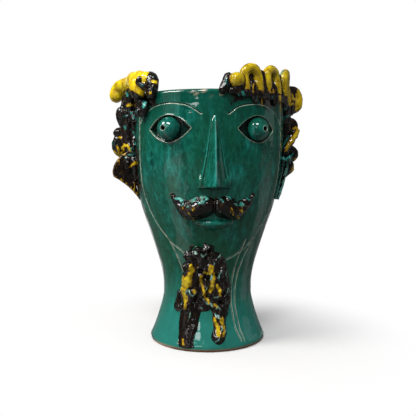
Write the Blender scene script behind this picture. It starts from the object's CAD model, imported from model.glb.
# %% [markdown]
# # Head vase in glazed earthenware
# A thrown vessel with a face: balls of clay in almond eyes, a folded nose, a leaf moustache, a
# lumpy beard, two ears, and rolled-clay curls round the rim. Everything is one fired piece under
# a glossy copper-green glaze, with manganese black and yellow brushed over the hair.

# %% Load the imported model
import math

import bmesh
import bpy
import numpy as np
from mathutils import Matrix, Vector, noise
from mathutils.kdtree import KDTree


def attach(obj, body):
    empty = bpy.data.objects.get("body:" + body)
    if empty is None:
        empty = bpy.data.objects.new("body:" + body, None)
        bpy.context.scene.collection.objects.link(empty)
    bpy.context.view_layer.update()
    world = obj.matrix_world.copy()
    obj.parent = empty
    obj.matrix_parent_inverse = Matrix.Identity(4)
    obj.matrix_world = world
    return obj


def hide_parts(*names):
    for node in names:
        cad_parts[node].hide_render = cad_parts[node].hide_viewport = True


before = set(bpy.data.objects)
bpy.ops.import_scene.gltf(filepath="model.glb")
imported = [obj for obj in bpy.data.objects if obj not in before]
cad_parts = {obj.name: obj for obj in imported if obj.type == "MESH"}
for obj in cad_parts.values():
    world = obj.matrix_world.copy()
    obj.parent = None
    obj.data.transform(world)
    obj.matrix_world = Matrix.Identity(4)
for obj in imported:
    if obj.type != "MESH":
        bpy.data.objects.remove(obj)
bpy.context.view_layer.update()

MM = 0.001

# %% [markdown]
# ## Stage
# White paper runs from under the vase to the far background, so the object stands in white. A white
# world alone would do that too, but it would light the vase from all sides and lie like milk on a
# dark gloss. So white is shown only to the eye and behind the vase, and the room in front is dim. A
# key lamp on the left and a window in front light the vase from above, too high for an upright wall
# to mirror them. Two low panes, two far windows at eye level and two pale sectors of the floor are
# weak: they are there to be mirrored, as glints on the foot and as pale bands in the cheeks.

# %% Colours and nodes
def srgb(code):
    """A colour written as sRGB hex, as the linear values that a shader takes"""
    values = [int(code[i:i + 2], 16) / 255 for i in (1, 3, 5)]
    return [v / 12.92 if v <= 0.04045 else ((v + 0.055) / 1.055) ** 2.4 for v in values] + [1.0]


def add(tree, kind, inputs=None, **settings):
    """A node with settings. Inputs are values, or outputs or nodes to link: a node gives its first
    output"""
    node = tree.nodes.new(kind)
    for key, value in settings.items():
        setattr(node, key, value)
    for key, value in (inputs or {}).items():
        if isinstance(value, bpy.types.Node):
            value = value.outputs[0]
        if isinstance(value, bpy.types.NodeSocket):
            tree.links.new(value, node.inputs[key])
        else:
            node.inputs[key].default_value = value
    return node


def blank_material(name):
    material = bpy.data.materials.new(name)
    material.use_nodes = True
    material.node_tree.nodes.clear()
    return material, material.node_tree


# %% Floor
# the cosines, counted from straight behind the vase, where white begins and is full in reflections
BEHIND = (0.82, 1.0)
# how light the paper is, and looks to the eye in the vase's shadow
PAPER, PAPER_SEEN = 0.12, 0.56
# parts of the paper that the foot and the cheeks mirror: azimuth, half width and lightness
PALE_SECTORS = ((-54, 13, 0.5), (98, 12, 0.35))


def facing(tree, place, azimuth, low, high):
    """From 0 to 1 as the way to a place turns to an azimuth, counted from the middle of the face,
    between two cosines of what is left to turn"""
    a = math.radians(azimuth)
    along = add(tree, "ShaderNodeVectorMath", {0: place, 1: (math.sin(a), -math.cos(a), 0.0)},
                operation="DOT_PRODUCT").outputs["Value"]
    away = add(tree, "ShaderNodeVectorMath", {0: place}, operation="LENGTH").outputs["Value"]
    cosine = add(tree, "ShaderNodeMath", {0: along, 1: away}, operation="DIVIDE")
    return add(tree, "ShaderNodeMapRange", {"Value": cosine, "From Min": low, "From Max": high},
               interpolation_type="SMOOTHSTEP")


def white_seen(tree, place):
    """1 where a ray shows the white background: to the eye, and behind the vase to its reflections"""
    path = add(tree, "ShaderNodeLightPath").outputs
    mirrored = add(tree, "ShaderNodeMath", {0: path["Is Glossy Ray"], 1: path["Is Transmission Ray"]},
                   operation="MAXIMUM")
    behind = add(tree, "ShaderNodeMath", {0: mirrored, 1: facing(tree, place, 180, *BEHIND)},
                 operation="MULTIPLY")
    return add(tree, "ShaderNodeMath", {0: path["Is Camera Ray"], 1: behind}, operation="MAXIMUM")


def studio_paper():
    """White paper that takes the vase's shadow nearby and shows its whiteness farther away, without
    lighting the object"""
    material, tree = blank_material("white studio paper")
    place = add(tree, "ShaderNodeTexCoord").outputs["Object"]
    away = add(tree, "ShaderNodeVectorMath", {0: place}, operation="LENGTH").outputs["Value"]
    past_shadow = add(tree, "ShaderNodeMapRange", {"Value": away, "From Min": 0.07, "From Max": 0.26},
                      interpolation_type="SMOOTHSTEP")
    share = add(tree, "ShaderNodeMath", {0: past_shadow, 1: white_seen(tree, place)}, operation="MULTIPLY")
    eye_ray = add(tree, "ShaderNodeLightPath").outputs["Is Camera Ray"]
    tone = add(tree, "ShaderNodeMath", {0: eye_ray, 1: PAPER_SEEN}, operation="MULTIPLY")
    tone = add(tree, "ShaderNodeMath", {0: tone, 1: PAPER}, operation="MAXIMUM")
    for azimuth, wide, lightness in PALE_SECTORS:
        edge = math.cos(math.radians(wide))
        sector = facing(tree, place, azimuth, edge - 0.03, edge + 0.02)
        sector = add(tree, "ShaderNodeMath", {0: sector, 1: lightness}, operation="MULTIPLY")
        tone = add(tree, "ShaderNodeMath", {0: tone, 1: sector}, operation="MAXIMUM")
    paper = add(tree, "ShaderNodeBsdfDiffuse", {"Color": tone})
    glow = add(tree, "ShaderNodeEmission", {"Color": [1.0, 1.0, 1.0, 1.0], "Strength": 1.0})
    mix = add(tree, "ShaderNodeMixShader", {0: share, 1: paper, 2: glow})
    add(tree, "ShaderNodeOutputMaterial", {"Surface": mix})
    return material


floor_mesh = bpy.data.meshes.new("floor")
floor_mesh.from_pydata([(-5, -5, 0), (5, -5, 0), (5, 5, 0), (-5, 5, 0)], [], [(0, 1, 2, 3)])
floor_mesh.materials.append(studio_paper())
floor = bpy.data.objects.new("floor", floor_mesh)
bpy.context.collection.objects.link(floor)
print("paper: nodes", len(floor_mesh.materials[0].node_tree.nodes), "pale sectors", len(PALE_SECTORS))


# %% The room
def dim_room(low, high, held_back):
    """White to the eye and behind the vase. The rest of the room lights the vase softly, from low at
    the horizon to high overhead, and holds back a share of that from the vase's reflections"""
    world = bpy.data.worlds.new("dim room")
    world.use_nodes = True
    tree = world.node_tree
    way = add(tree, "ShaderNodeTexCoord").outputs["Generated"]
    up = add(tree, "ShaderNodeSeparateXYZ", {0: way}).outputs["Z"]
    level = add(tree, "ShaderNodeMapRange", {"Value": up, "From Min": 0.15, "From Max": 0.9,
                                             "To Min": low, "To Max": high}, interpolation_type="SMOOTHSTEP")
    mirrored = add(tree, "ShaderNodeLightPath").outputs["Is Glossy Ray"]
    kept = add(tree, "ShaderNodeMath", {0: mirrored, 1: -held_back, 2: 1.0}, operation="MULTIPLY_ADD")
    level = add(tree, "ShaderNodeMath", {0: level, 1: kept}, operation="MULTIPLY")
    seen = white_seen(tree, way)
    unseen = add(tree, "ShaderNodeMath", {0: 1.0, 1: seen}, operation="SUBTRACT")
    strength = add(tree, "ShaderNodeMath", {0: level, 1: unseen, 2: seen}, operation="MULTIPLY_ADD")
    sky = tree.nodes["Background"]
    sky.inputs["Color"].default_value = (1.0, 1.0, 1.0, 1.0)
    tree.links.new(strength.outputs[0], sky.inputs["Strength"])
    bpy.context.scene.world = world


dim_room(low=0.45, high=0.8, held_back=0.8)
bpy.context.scene.view_settings.view_transform = "Standard"
print("room: nodes", len(bpy.context.scene.world.node_tree.nodes))


# %% Softboxes
def softbox(name, azimuth, elevation, away, size, watts, colour="#ffffff"):
    """A rectangular lamp that faces the vase, azimuth counted from the middle of the face"""
    a, e = math.radians(azimuth), math.radians(elevation)
    aim = Vector((0, 0, 0.16))
    place = aim + away * Vector((math.sin(a) * math.cos(e), -math.cos(a) * math.cos(e), math.sin(e)))
    lamp = bpy.data.lights.new(name, "AREA")
    lamp.shape = "RECTANGLE"
    lamp.size, lamp.size_y = size
    lamp.energy = watts
    lamp.color = srgb(colour)[:3]
    holder = bpy.data.objects.new(name, lamp)
    holder.location = place
    holder.rotation_euler = (aim - place).to_track_quat("-Z", "Y").to_euler()
    bpy.context.collection.objects.link(holder)


# azimuth and elevation, metres away, size in m, watts
softbox("key from the left", -66, 46, 1.5, (0.45, 0.45), 22, "#fffcf8")
softbox("window in front", -14, 50, 1.5, (0.42, 0.34), 15)
softbox("low window", -25, 15, 1.5, (0.26, 0.13), 1.1)
softbox("lower pane", -22, 27, 1.5, (0.5, 0.06), 0.9)
# only bright enough to be mirrored as pale bands in the cheeks
softbox("far window on the left", -56, 14, 2.0, (0.8, 0.9), 1.2)
softbox("far window on the right", 98, 14, 2.0, (0.7, 0.9), 0.8)

# %% Camera
# 64 cm away, 5 degrees to the left of the face, 195 mm high and tilted a little down
camera = bpy.data.cameras.new("camera")
camera.lens, camera.sensor_width = 46.32, 36.0
eye = bpy.data.objects.new("camera", camera)
eye.location = (-0.0558, -0.6376, 0.195)
eye.rotation_euler = (math.radians(90 - 3.67), 0, math.radians(-5.075))
bpy.context.collection.objects.link(eye)
bpy.context.scene.camera = eye
print("camera:", camera.lens, "mm lens, looks from", tuple(round(v / MM) for v in eye.location), "mm")

# %% [markdown]
# ## The vessel's wall
# Every piece of clay is laid on the thrown wall, so its outer line has to be known everywhere. Rays
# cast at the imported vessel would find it, but its rings of points already are the potter's profile,
# so they are read once and joined by a smooth line. Pieces are then placed by azimuth (degrees from
# the middle of the face towards +X), height and stand (how far out from the wall), in millimetres.

# %% The wall's outer line
def mesh_points(mesh):
    """A mesh's points in mm"""
    flat = np.empty(3 * len(mesh.vertices))
    mesh.vertices.foreach_get("co", flat)
    return flat.reshape(-1, 3) / MM


def outer_rows():
    """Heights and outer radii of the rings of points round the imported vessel"""
    points = np.concatenate([mesh_points(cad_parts[name].data) for name in ("vase_foot", "vase_body")])
    radius = np.hypot(points[:, 0], points[:, 1])
    rows = []
    for z in np.unique(np.round(points[:, 2], 1)):
        ring = radius[np.abs(points[:, 2] - z) < 0.06]
        # a full ring of 40 points or more, between the rounded foot and the lip
        if 3.5 < z < 279 and (ring > ring.max() - 0.4).sum() >= 40:
            rows.append((z, ring.max()))
    rows = np.array(rows)
    # a ring of the inside stands 4 mm or more within the line between its neighbours
    before, after = rows[:-2], rows[2:]
    share = (rows[1:-1, 0] - before[:, 0]) / (after[:, 0] - before[:, 0])
    line = before[:, 1] + share * (after[:, 1] - before[:, 1])
    outside = np.concatenate([[True], rows[1:-1, 1] > line - 4, [True]])
    return rows[outside].T


ROW_Z, ROW_R = outer_rows()
ROW_SLOPE = np.gradient(ROW_R, ROW_Z)
RIM, RIM_RADIUS = 282.0, 90.0
WALL, FLOOR = 8.0, 10.0


def wall(z):
    """The outer radius at a height, on a smooth line through the rows"""
    z = np.clip(np.asarray(z, float), ROW_Z[0], ROW_Z[-1])
    k = np.clip(np.searchsorted(ROW_Z, z) - 1, 0, len(ROW_Z) - 2)
    step = ROW_Z[k + 1] - ROW_Z[k]
    t = (z - ROW_Z[k]) / step
    return ((1 + 2 * t) * (1 - t) ** 2 * ROW_R[k] + t * (1 - t) ** 2 * step * ROW_SLOPE[k]
            + t * t * (3 - 2 * t) * ROW_R[k + 1] + t * t * (t - 1) * step * ROW_SLOPE[k + 1])


def on_wall(azimuth, z, stand=0.0):
    angle = np.radians(azimuth)
    radius = wall(z) + stand
    return np.stack([radius * np.sin(angle), -radius * np.cos(angle), z + 0 * angle], -1)


def wall_place(points):
    """Azimuth and height of points in mm"""
    return np.degrees(np.arctan2(points[:, 0], -points[:, 1])), points[:, 2]


print("rows:", len(ROW_Z), "waist", round(ROW_R.min(), 1), "head", round(ROW_R.max(), 1))


# %% Shaping helpers
def seen_from_front(points):
    """Where points are seen from in front of the vase, on the upright plane through its axis, by an eye
    that stands 5 degrees to the left, 640 mm away and 195 mm high"""
    turn, away, high = math.radians(5.0), 640.0, 195.0
    across = points[:, 0] * math.cos(turn) - points[:, 1] * math.sin(turn)
    deep = points[:, 1] * math.cos(turn) + points[:, 0] * math.sin(turn)
    t = away / (away + deep)
    return np.column_stack([across * t, high + (points[:, 2] - high) * t])


def ease(low, high, value):
    t = np.clip((value - low) / (high - low), 0, 1)
    return t * t * (3 - 2 * t)


def grain(points, size, seed, octaves=1):
    """Smooth noise, about -0.7 to 0.7, with lumps of a size in mm"""
    total = np.zeros(len(points))
    for octave in range(octaves):
        scaled = (points / (size / 2 ** octave) + 17.3 * seed + 5.1 * octave).tolist()
        total += np.array([noise.noise(p) for p in scaled]) / 2 ** octave
    return total


def depth_in_paths(points, paths):
    """How deep each point lies inside the fattest of some paths of (x, y, z, radius) knots, in mm:
    above 0 inside, below 0 outside"""
    best = np.full(len(points), -1e3)
    for knots in paths:
        knots = np.asarray(knots, float)
        for a, b in zip(knots[:-1], knots[1:]):
            along = b[:3] - a[:3]
            t = np.clip((points - a[:3]) @ along / (along @ along + 1e-9), 0, 1)
            away = np.linalg.norm(points - a[:3] - t[:, None] * along, axis=1)
            best = np.maximum(best, a[3] + t * (b[3] - a[3]) - away)
    return best


OUTSIDE = -9.0  # mm, deep enough outside a colour that its ragged border doesn't show


def brushed(points, normals, strokes):
    """How deep points lie inside brush strokes of (across, height, radius) laid on from the front"""
    flat = np.column_stack([seen_from_front(points), np.zeros(len(points))])
    deep = depth_in_paths(flat, [[(u, w, 0.0, r) for u, w, r in stroke] for stroke in strokes])
    return np.where(normals[:, 1] < 0.1, deep, OUTSIDE)


def wall_path(knots):
    """Knots of (azimuth, height, stand, radius) as knots in space"""
    knots = np.asarray(knots, float)
    return np.column_stack([on_wall(knots[:, 0], knots[:, 1], knots[:, 2]), knots[:, 3]])


def smooth_path(knots, step):
    """Points along a smooth curve through knots of any width, about a step in mm apart"""
    knots = np.asarray(knots, float)
    ends = np.vstack([2 * knots[0] - knots[1], knots, 2 * knots[-1] - knots[-2]])
    points = []
    for i in range(len(knots) - 1):
        p0, p1, p2, p3 = ends[i:i + 4]
        count = max(2, int(np.linalg.norm((p2 - p1)[:3]) / step))
        for t in np.arange(count) / count:
            points.append(0.5 * (2 * p1 + (p2 - p0) * t + (2 * p0 - 5 * p1 + 4 * p2 - p3) * t * t
                                 + (3 * p1 - p0 - 3 * p2 + p3) * t ** 3))
    points.append(knots[-1])
    return np.array(points)


# %% Mesh helpers
def mesh_piece(name, points, faces, material, nodes):
    """A closed piece of the vase from points in mm"""
    mesh = bpy.data.meshes.new(name)
    mesh.from_pydata((np.asarray(points) * MM).tolist(), [], faces)
    finish_piece(name, mesh, material, nodes)
    return mesh


def finish_piece(name, mesh, material, nodes):
    """Turns a closed mesh outwards, smooths it, glazes it and lets it stand for the CAD nodes"""
    shell = bmesh.new()
    shell.from_mesh(mesh)
    bmesh.ops.recalc_face_normals(shell, faces=shell.faces)
    shell.to_mesh(mesh)
    shell.free()
    mesh.materials.clear()
    mesh.materials.append(material)
    mesh.polygons.foreach_set("use_smooth", [True] * len(mesh.polygons))
    piece = bpy.data.objects.new(name, mesh)
    bpy.context.collection.objects.link(piece)
    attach(piece, "root")
    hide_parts(*nodes)


def mesh_normals(mesh):
    flat = np.empty(3 * len(mesh.vertices))
    mesh.vertex_normals.foreach_get("vector", flat)
    return flat.reshape(-1, 3)


def move_points(mesh, points):
    mesh.vertices.foreach_set("co", (points * MM).ravel())
    mesh.update()


def glaze_marks(mesh, **marks):
    """Stores on the points how deep they lie inside the black and the yellow, in mm, and from 0 to 1
    how far each other mark goes. A mark is a number for each point or one for all"""
    for name, values in {"black": OUTSIDE, "yellow": OUTSIDE, **marks}.items():
        mark = mesh.attributes.new(name, "FLOAT", "POINT")
        mark.data.foreach_set("value", np.full(len(mesh.vertices), values, np.float32))


def neighbour_mean(mesh, values, rounds):
    """Values averaged over each point's neighbours, some times over"""
    edges = np.empty(2 * len(mesh.edges), np.int32)
    mesh.edges.foreach_get("vertices", edges)
    a, b = edges.reshape(-1, 2).T
    count = np.bincount(edges, minlength=len(mesh.vertices)).astype(float)
    count[count == 0] = 1
    for _ in range(rounds):
        columns = [np.bincount(a, v[b], len(count)) + np.bincount(b, v[a], len(count))
                   for v in values.T]
        values = 0.5 * values + 0.5 * np.stack(columns, 1) / count[:, None]
    return values


def crests(mesh, rounds):
    """How far each point stands above the smoothed surface, in mm: glaze runs thin there"""
    points = mesh_points(mesh)
    return ((points - neighbour_mean(mesh, points, rounds)) * mesh_normals(mesh)).sum(1)

# %% [markdown]
# ## Glaze
# The real glazes are copper green, manganese black and antimony yellow, brushed on raw earthenware
# and fired to a gloss. They could be painted as an image, but nodes stay sharp at any distance. One
# recipe serves a green and a black ground, because the brushes overlapped. Streaks are noise
# stretched upright, as brushed glaze runs. The marks on the points say how deep inside each colour
# a point lies in mm, and noise of 1 to 3 mm makes the ragged borders. Glaze breaks to pale
# turquoise where it runs thin on crests, and pools dark in hollows.

# %% Shades of the glazes
# For each, its clouds' size in mm (x, y, z), seed, detail and roughness, and its colours
SHADES = {
    # deep where the coat is thick, teal where the brush left it thin
    "green": ((7, 7, 26), 1, 5.0, 0.66, ((0.33, "#01332a"), (0.44, "#03463b"), (0.54, "#07574b"),
                                         (0.64, "#177064"), (0.76, "#3f988c"))),
    # amber-brown where it lies thin
    "black": ((3.2, 3.2, 7), 13, 3.0, 0.55, ((0.3, "#080606"), (0.6, "#120d09"), (0.7, "#321d0a"),
                                             (0.82, "#6d4a12"))),
    "yellow": ((9, 9, 9), 17, 2.0, 0.55, ((0.3, "#8f760c"), (0.46, "#b89c12"), (0.62, "#d2bd19"))),
    # the yellow where the brush left it thin over the black
    "ochre": ((5, 5, 7), 19, 3.0, 0.6, ((0.3, "#453409"), (0.42, "#6d570c"), (0.52, "#8f7711"),
                                        (0.66, "#ab9415"))),
}
MARKS = ("black", "yellow", "ochre", "crest", "hollow", "pale", "clay", "dabbed")
# mm by which noise moves the borders of the marks
WANDER = {"black": 9.0, "yellow": 6.3, "crest": 0.45}


# %% The glaze recipe
def glaze(name, ground):
    """ground is green or black: the colour where no mark says otherwise"""
    material, tree = blank_material(name)
    place = add(tree, "ShaderNodeTexCoord").outputs["Object"]

    def clouds(sizes, seed, detail=2.0, rough=0.55):
        """Noise whose lumps have sizes (x, y, z) in mm"""
        moved = add(tree, "ShaderNodeMapping", {"Vector": place, "Location": (seed, 2 * seed, 3 * seed),
                                                "Scale": [1 / (size * MM) for size in sizes]})
        return add(tree, "ShaderNodeTexNoise",
                   {"Vector": moved, "Scale": 1.0, "Detail": detail, "Roughness": rough})

    def coated(under, *coats):
        """Coats over one another. Each grows as a pattern goes from low to high, up to its share"""
        for pattern, low, high, share, over in coats:
            cover = add(tree, "ShaderNodeMapRange", {"Value": pattern, "From Min": low, "From Max": high,
                                                     "To Max": share})
            over = srgb(over) if isinstance(over, str) else over
            # inputs 0, 6 and 7 are the factor and the two colours, and output 2 their mix
            under = add(tree, "ShaderNodeMix", {0: cover, 6: under, 7: over}, data_type="RGBA").outputs[2]
        return under

    shade = {}
    for colour, (sizes, seed, detail, rough, stops) in SHADES.items():
        if ground == "black" and colour == "green":
            continue
        ramp = add(tree, "ShaderNodeValToRGB", {0: clouds(sizes, seed, detail, rough)})
        ramp.color_ramp.elements.remove(ramp.color_ramp.elements[1])
        for i, (at, code) in enumerate(stops):
            stop = ramp.color_ramp.elements[0] if i == 0 else ramp.color_ramp.elements.new(at)
            stop.position, stop.color = at, srgb(code)
        shade[colour] = ramp.outputs[0]

    mark = {field: add(tree, "ShaderNodeAttribute", attribute_name=field).outputs["Fac"]
            for field in MARKS if field != ground}
    ragged = add(tree, "ShaderNodeMath", {0: clouds((2.6, 2.6, 4.5), 3, 4.0, 0.6), 1: 0.5},
                 operation="SUBTRACT")
    for field, wander in WANDER.items():
        if field != ground:
            mark[field] = add(tree, "ShaderNodeMath", {0: ragged, 1: wander, 2: mark[field]},
                              operation="MULTIPLY_ADD")

    colour = shade[ground]
    relief = [(clouds((6, 6, 9), 21, 1.0), 0.3, 0.0005)]
    if ground == "green":
        height = add(tree, "ShaderNodeSeparateXYZ", {0: place}).outputs["Z"]
        pools = add(tree, "ShaderNodeMapRange", {"Value": clouds((40, 40, 70), 9, 2.0, 0.5),
                                                 "From Min": 0.46, "From Max": 0.66, "To Max": 0.4})
        waist = add(tree, "ShaderNodeMapRange", {"Value": height, "From Min": 0.19, "From Max": 0.11,
                                                 "To Max": 0.35})
        colour = coated(
            colour,
            (clouds((1.5, 1.5, 18), 5, 4.0, 0.66), 0.42, 0.62, 0.5, "#033a2f"),  # brush marks
            (clouds((3.0, 3.0, 5.5), 33, 3.0, 0.6), 0.5, 0.64, 0.5, "#1f7467"),  # specks
            (clouds((24, 24, 38), 29, 1.0, 0.3), 0.49, 0.515, 0.42, "#07412f"),  # laps of two coats
            # olive in the pools and at the waist, pale near the foot and deep below the rim
            (add(tree, "ShaderNodeMath", {0: pools, 1: waist}, operation="ADD"), 0.0, 1.0, 1.0, "#103c23"),
            (height, 0.085, 0.03, 0.5, "#2b7a72"),
            (height, 0.235, 0.268, 0.6, "#02392e"),
            # the black's dark halo, and the black
            (mark["black"], -2.6, -0.6, 0.6, "#0a2a22"),
            (mark["black"], -0.9, 0.6, 1.0, shade["black"]))
        # the thrower's fingers left low rings and broad waves, which the glaze mirrors as ripples
        relief += [(clouds((38, 38, 5.5), 25), 0.3, 0.0005), (clouds((17, 17, 26), 27, 1.0), 0.5, 0.003)]
    yellow = coated(shade["yellow"], (mark["ochre"], 0.0, 1.0, 1.0, shade["ochre"]))
    colour = coated(
        colour,
        (mark["yellow"], -1.1, -0.2, 1.0, "#4d2f08"),
        (mark["yellow"], -0.4, 0.5, 1.0, "#937510"),
        (mark["yellow"], 0.2, 1.4, 1.0, yellow),
        (mark["crest"], 0.25, 0.75, 0.9, "#22756b"),
        (mark["crest"], 0.8, 1.2, 0.85, "#56aaa1"),
        (mark["hollow"], 0.2, 1.0, 0.9, "#06120e"),
        (mark["pale"], 0.0, 1.0, 1.0, "#a9ad9c"),
        (mark["clay"], 0.0, 1.0, 1.0, "#8d6246"))

    # the black is dabbed on thick, so it stands in wet lumps
    relief.append((clouds((2.9, 2.9, 3.8), 23, 1.5), mark["dabbed"], 0.0014))
    surface = {}
    for pattern, strength, deep in relief:
        bump = add(tree, "ShaderNodeBump", {"Height": pattern, "Strength": strength, "Distance": deep,
                                            **surface})
        surface = {"Normal": bump}
    skin = add(tree, "ShaderNodeBsdfPrincipled",
               {"Base Color": colour, "Roughness": 0.06, "IOR": 1.42, **surface})
    add(tree, "ShaderNodeOutputMaterial", {"Surface": skin})
    return material


GREEN = glaze("copper-green earthenware glaze", "green")
BLACK = glaze("manganese-black earthenware glaze", "black")
print("glazes:", GREEN.name, "/", BLACK.name)

# %% [markdown]
# ## The vessel
# The real vessel is thrown on a wheel, and its lines are scratched with a point: a groove with a
# burr on both sides, which the glaze leaves pale. A turned profile with a displaced surface would
# need fine points everywhere. A revolved grid that is split only round the drawn lines and the eyes
# gives each groove its points and keeps the rest light.

# %% Lines scratched into the wall, as paths of azimuth and height
EYE_AZIMUTH, EYE_Z, EYE_HALF = 32.0, 241.75, 13.7
EYE_WIDE = math.radians(EYE_AZIMUTH) * float(wall(EYE_Z)) / 2
FAR = 99.0  # mm, farther from an eye than anything that its lids touch
scratches = []
for side in (-1, 1):
    scratches += [
        [(side * a, z) for a, z in ((9, 256), (17, 264.5), (30, 268), (43, 266), (54, 258), (59, 250))],
        [(side * a, z) for a, z in ((60, 262), (61, 240), (62.5, 208), (64, 176), (58, 146), (44, 122),
                                    (27, 107), (16, 101))],
        [(side * a, z) for a, z in ((44, 122), (36, 96), (31, 72), (30, 48), (31, 26), (34, 8))],
    ]
scratches.append([(34, 122), (29, 100), (25.5, 74), (25, 48), (26.5, 24), (30, 9)])


def scratch_tree():
    """The scratched lines as points in space, a little shaky, as drawn by hand in wet clay"""
    points = []
    for k, knots in enumerate(scratches):
        line = smooth_path([(a, z, 0) for a, z in knots], 0.25)
        line = on_wall(line[:, 0], line[:, 1])
        shake = grain(line, 14, 40 + k)[:, None] * 0.9
        points.append(line + shake * np.array([0.7, 0, 0.7]))
    points = np.concatenate(points)
    tree = KDTree(len(points))
    for i, p in enumerate(points):
        tree.insert(p, i)
    tree.balance()
    return tree


scratch_points = scratch_tree()
print("scratched lines:", len(scratches))


def scratch_distance(points):
    return np.array([scratch_points.find(p)[2] for p in points.tolist()])


def above_brow(points):
    """1 above the brow lines, whose upper side the glaze fills, and 0 below them and elsewhere"""
    nearest = np.array([scratch_points.find(p)[0][2] for p in points.tolist()])
    azimuth, z = wall_place(points)
    return ease(0, 0.4, z - nearest) * (np.abs(azimuth) < 57) * (z > 252)


def almond_distance(points):
    """Signed distance to the nearer eye's almond along the wall, in mm, below 0 inside"""
    azimuth, z = wall_place(points)
    best = np.full(len(points), FAR)
    for side in (-1, 1):
        x = np.radians(azimuth - side * EYE_AZIMUTH) * wall(EYE_Z)
        y = z - EYE_Z
        share = np.clip(np.abs(x) / EYE_WIDE, 0, 1)
        lid = EYE_HALF * (1 - share ** 2)
        slope = 2 * EYE_HALF * share / EYE_WIDE
        across = (np.abs(y) - lid) / np.sqrt(1 + slope ** 2)
        beyond = np.hypot(np.maximum(np.abs(x) - EYE_WIDE, 0), np.maximum(np.abs(y) - lid, 0))
        near = np.where(np.abs(x) > EYE_WIDE, beyond, across)
        best = np.minimum(best, np.where(np.abs(azimuth - side * EYE_AZIMUTH) < 40, near, FAR))
    return best


# %% The revolved grid
COLUMNS = 150


def vessel_rows():
    """Rows of (radius, height, 1 on the outer wall) from the middle of the underside round to the
    middle of the floor inside"""
    rows = [(64.0, 0.0, 0.0), (66.2, 0.3, 0.0), (67.4, 1.5, 0.0)]
    rows += [(float(wall(z)), z, 1.0) for z in np.arange(4.0, RIM - 5.0, 2.9)]
    lip = WALL / 2
    for angle in np.radians(np.arange(0, 181, 15)):
        rows.append((RIM_RADIUS - lip + lip * math.cos(angle), RIM - lip + lip * math.sin(angle), 0.0))
    rows += [(float(wall(z)) - WALL, z, 0.0) for z in np.arange(RIM - 8, FLOOR + 8, -6.0)]
    corner = float(wall(FLOOR)) - WALL
    for angle in np.radians((20, 45, 70, 90)):
        rows.append((corner - 6 + 6 * math.cos(angle) - 1, FLOOR + 7 - 7 * math.sin(angle), 0.0))
    rows += [(36.0, FLOOR, 0.0), (18.0, FLOOR, 0.0)]
    return rows


def vessel_grid():
    """The rows revolved, with a field that says which points are the outer wall's"""
    grid = bmesh.new()
    outer = grid.verts.layers.float.new("outer")
    rings = []
    for radius, z, is_outer in vessel_rows():
        ring = []
        for k in range(COLUMNS):
            angle = 2 * math.pi * k / COLUMNS
            vertex = grid.verts.new((radius * math.sin(angle), -radius * math.cos(angle), z))
            vertex[outer] = is_outer
            ring.append(vertex)
        rings.append(ring)
    for low, high in zip(rings[:-1], rings[1:]):
        for k in range(COLUMNS):
            n = (k + 1) % COLUMNS
            grid.faces.new((low[k], low[n], high[n], high[k]))
    for ring, z in ((rings[0], 0.0), (rings[-1], FLOOR)):
        middle = grid.verts.new((0, 0, z))
        for k in range(COLUMNS):
            grid.faces.new((ring[k], ring[(k + 1) % COLUMNS], middle))
    return grid, outer


grid, outer = vessel_grid()
# every round splits the edges within reach, in mm, of a scratch or an eye's border, but not at the back
for reach in (3.4, 2.1, 1.35, 0.95):
    edges = [e for e in grid.edges if e.verts[0][outer] > 0.99 and e.verts[1][outer] > 0.99]
    middles = np.array([(e.verts[0].co + e.verts[1].co) / 2 for e in edges])
    wanted = np.minimum(scratch_distance(middles), np.abs(almond_distance(middles)) - 0.4) < reach
    wanted &= middles[:, 1] < 20
    bmesh.ops.subdivide_edges(grid, edges=[e for e, w in zip(edges, wanted) if w], cuts=1,
                              use_grid_fill=True)
vessel_mesh = bpy.data.meshes.new("vessel")
for vertex in grid.verts:
    vertex.co *= MM
grid.to_mesh(vessel_mesh)
grid.free()
print("vessel points:", len(vessel_mesh.vertices), "faces:", len(vessel_mesh.polygons))


# %% Colours brushed on the wall round the hair
def hair_stain(points):
    """How deep a point lies inside the black brushed on the wall behind the hair, in mm. Each patch
    ends at some heights in mm and azimuths in degrees, with borders that wave and are torn"""
    azimuth, z = wall_place(points)
    torn = 5 * grain(points / [1, 1, 2.0], 11, 15, 2)
    low = z + 26 * grain(points * [1, 1, 0.1], 10, 16) + torn
    patches = [
        # the top right, the right side, the left side and the top left
        [(z - 270 + 5 * np.sin(np.radians(azimuth * 11))) * 0.6, (azimuth - 12) * 0.6,
         (102 - azimuth) * 1.5 + torn],
        [z - 188, (low - 204) * 0.5, (azimuth - 73 - 3 * np.sin(z / 9)) * 1.4, (97 - azimuth) * 1.4 + torn],
        [(z - 176) * 0.3, (-66.5 - azimuth + 2.5 * np.sin(z / 8)) * 0.4, (azimuth + 99) * 1.4 + torn,
         np.where(azimuth < -84, (low - 214) * 0.4, 9)],
        [z - 266, (-42 - azimuth) * 1.5, (azimuth + 105) * 1.5 + torn],
    ]
    return np.maximum.reduce([np.minimum.reduce(borders) for borders in patches])


# yellow that ran from the loops down the wall: azimuth, end height and half width in mm
DRIPS = ((20.5, 273, 1.4), (35, 267, 1.6), (41, 273, 1.1), (53.5, 270, 1.4), (60, 262, 1.5), (65, 266, 1.2))


def stain_drips(azimuth, z):
    best = np.full(len(z), OUTSIDE)
    for at, end, half in DRIPS:
        across = np.abs(np.radians(azimuth - at) * RIM_RADIUS) / (0.6 + 0.4 * ease(end, end + 10, z))
        best = np.maximum(best, np.minimum(half - across, (z - end) * 0.8))
    return best


# %% Press the wall into shape
def bell(value, middle, half):
    """1 at the middle, falling off within about half on either side"""
    return np.exp(-((value - middle) / half) ** 2)


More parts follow.
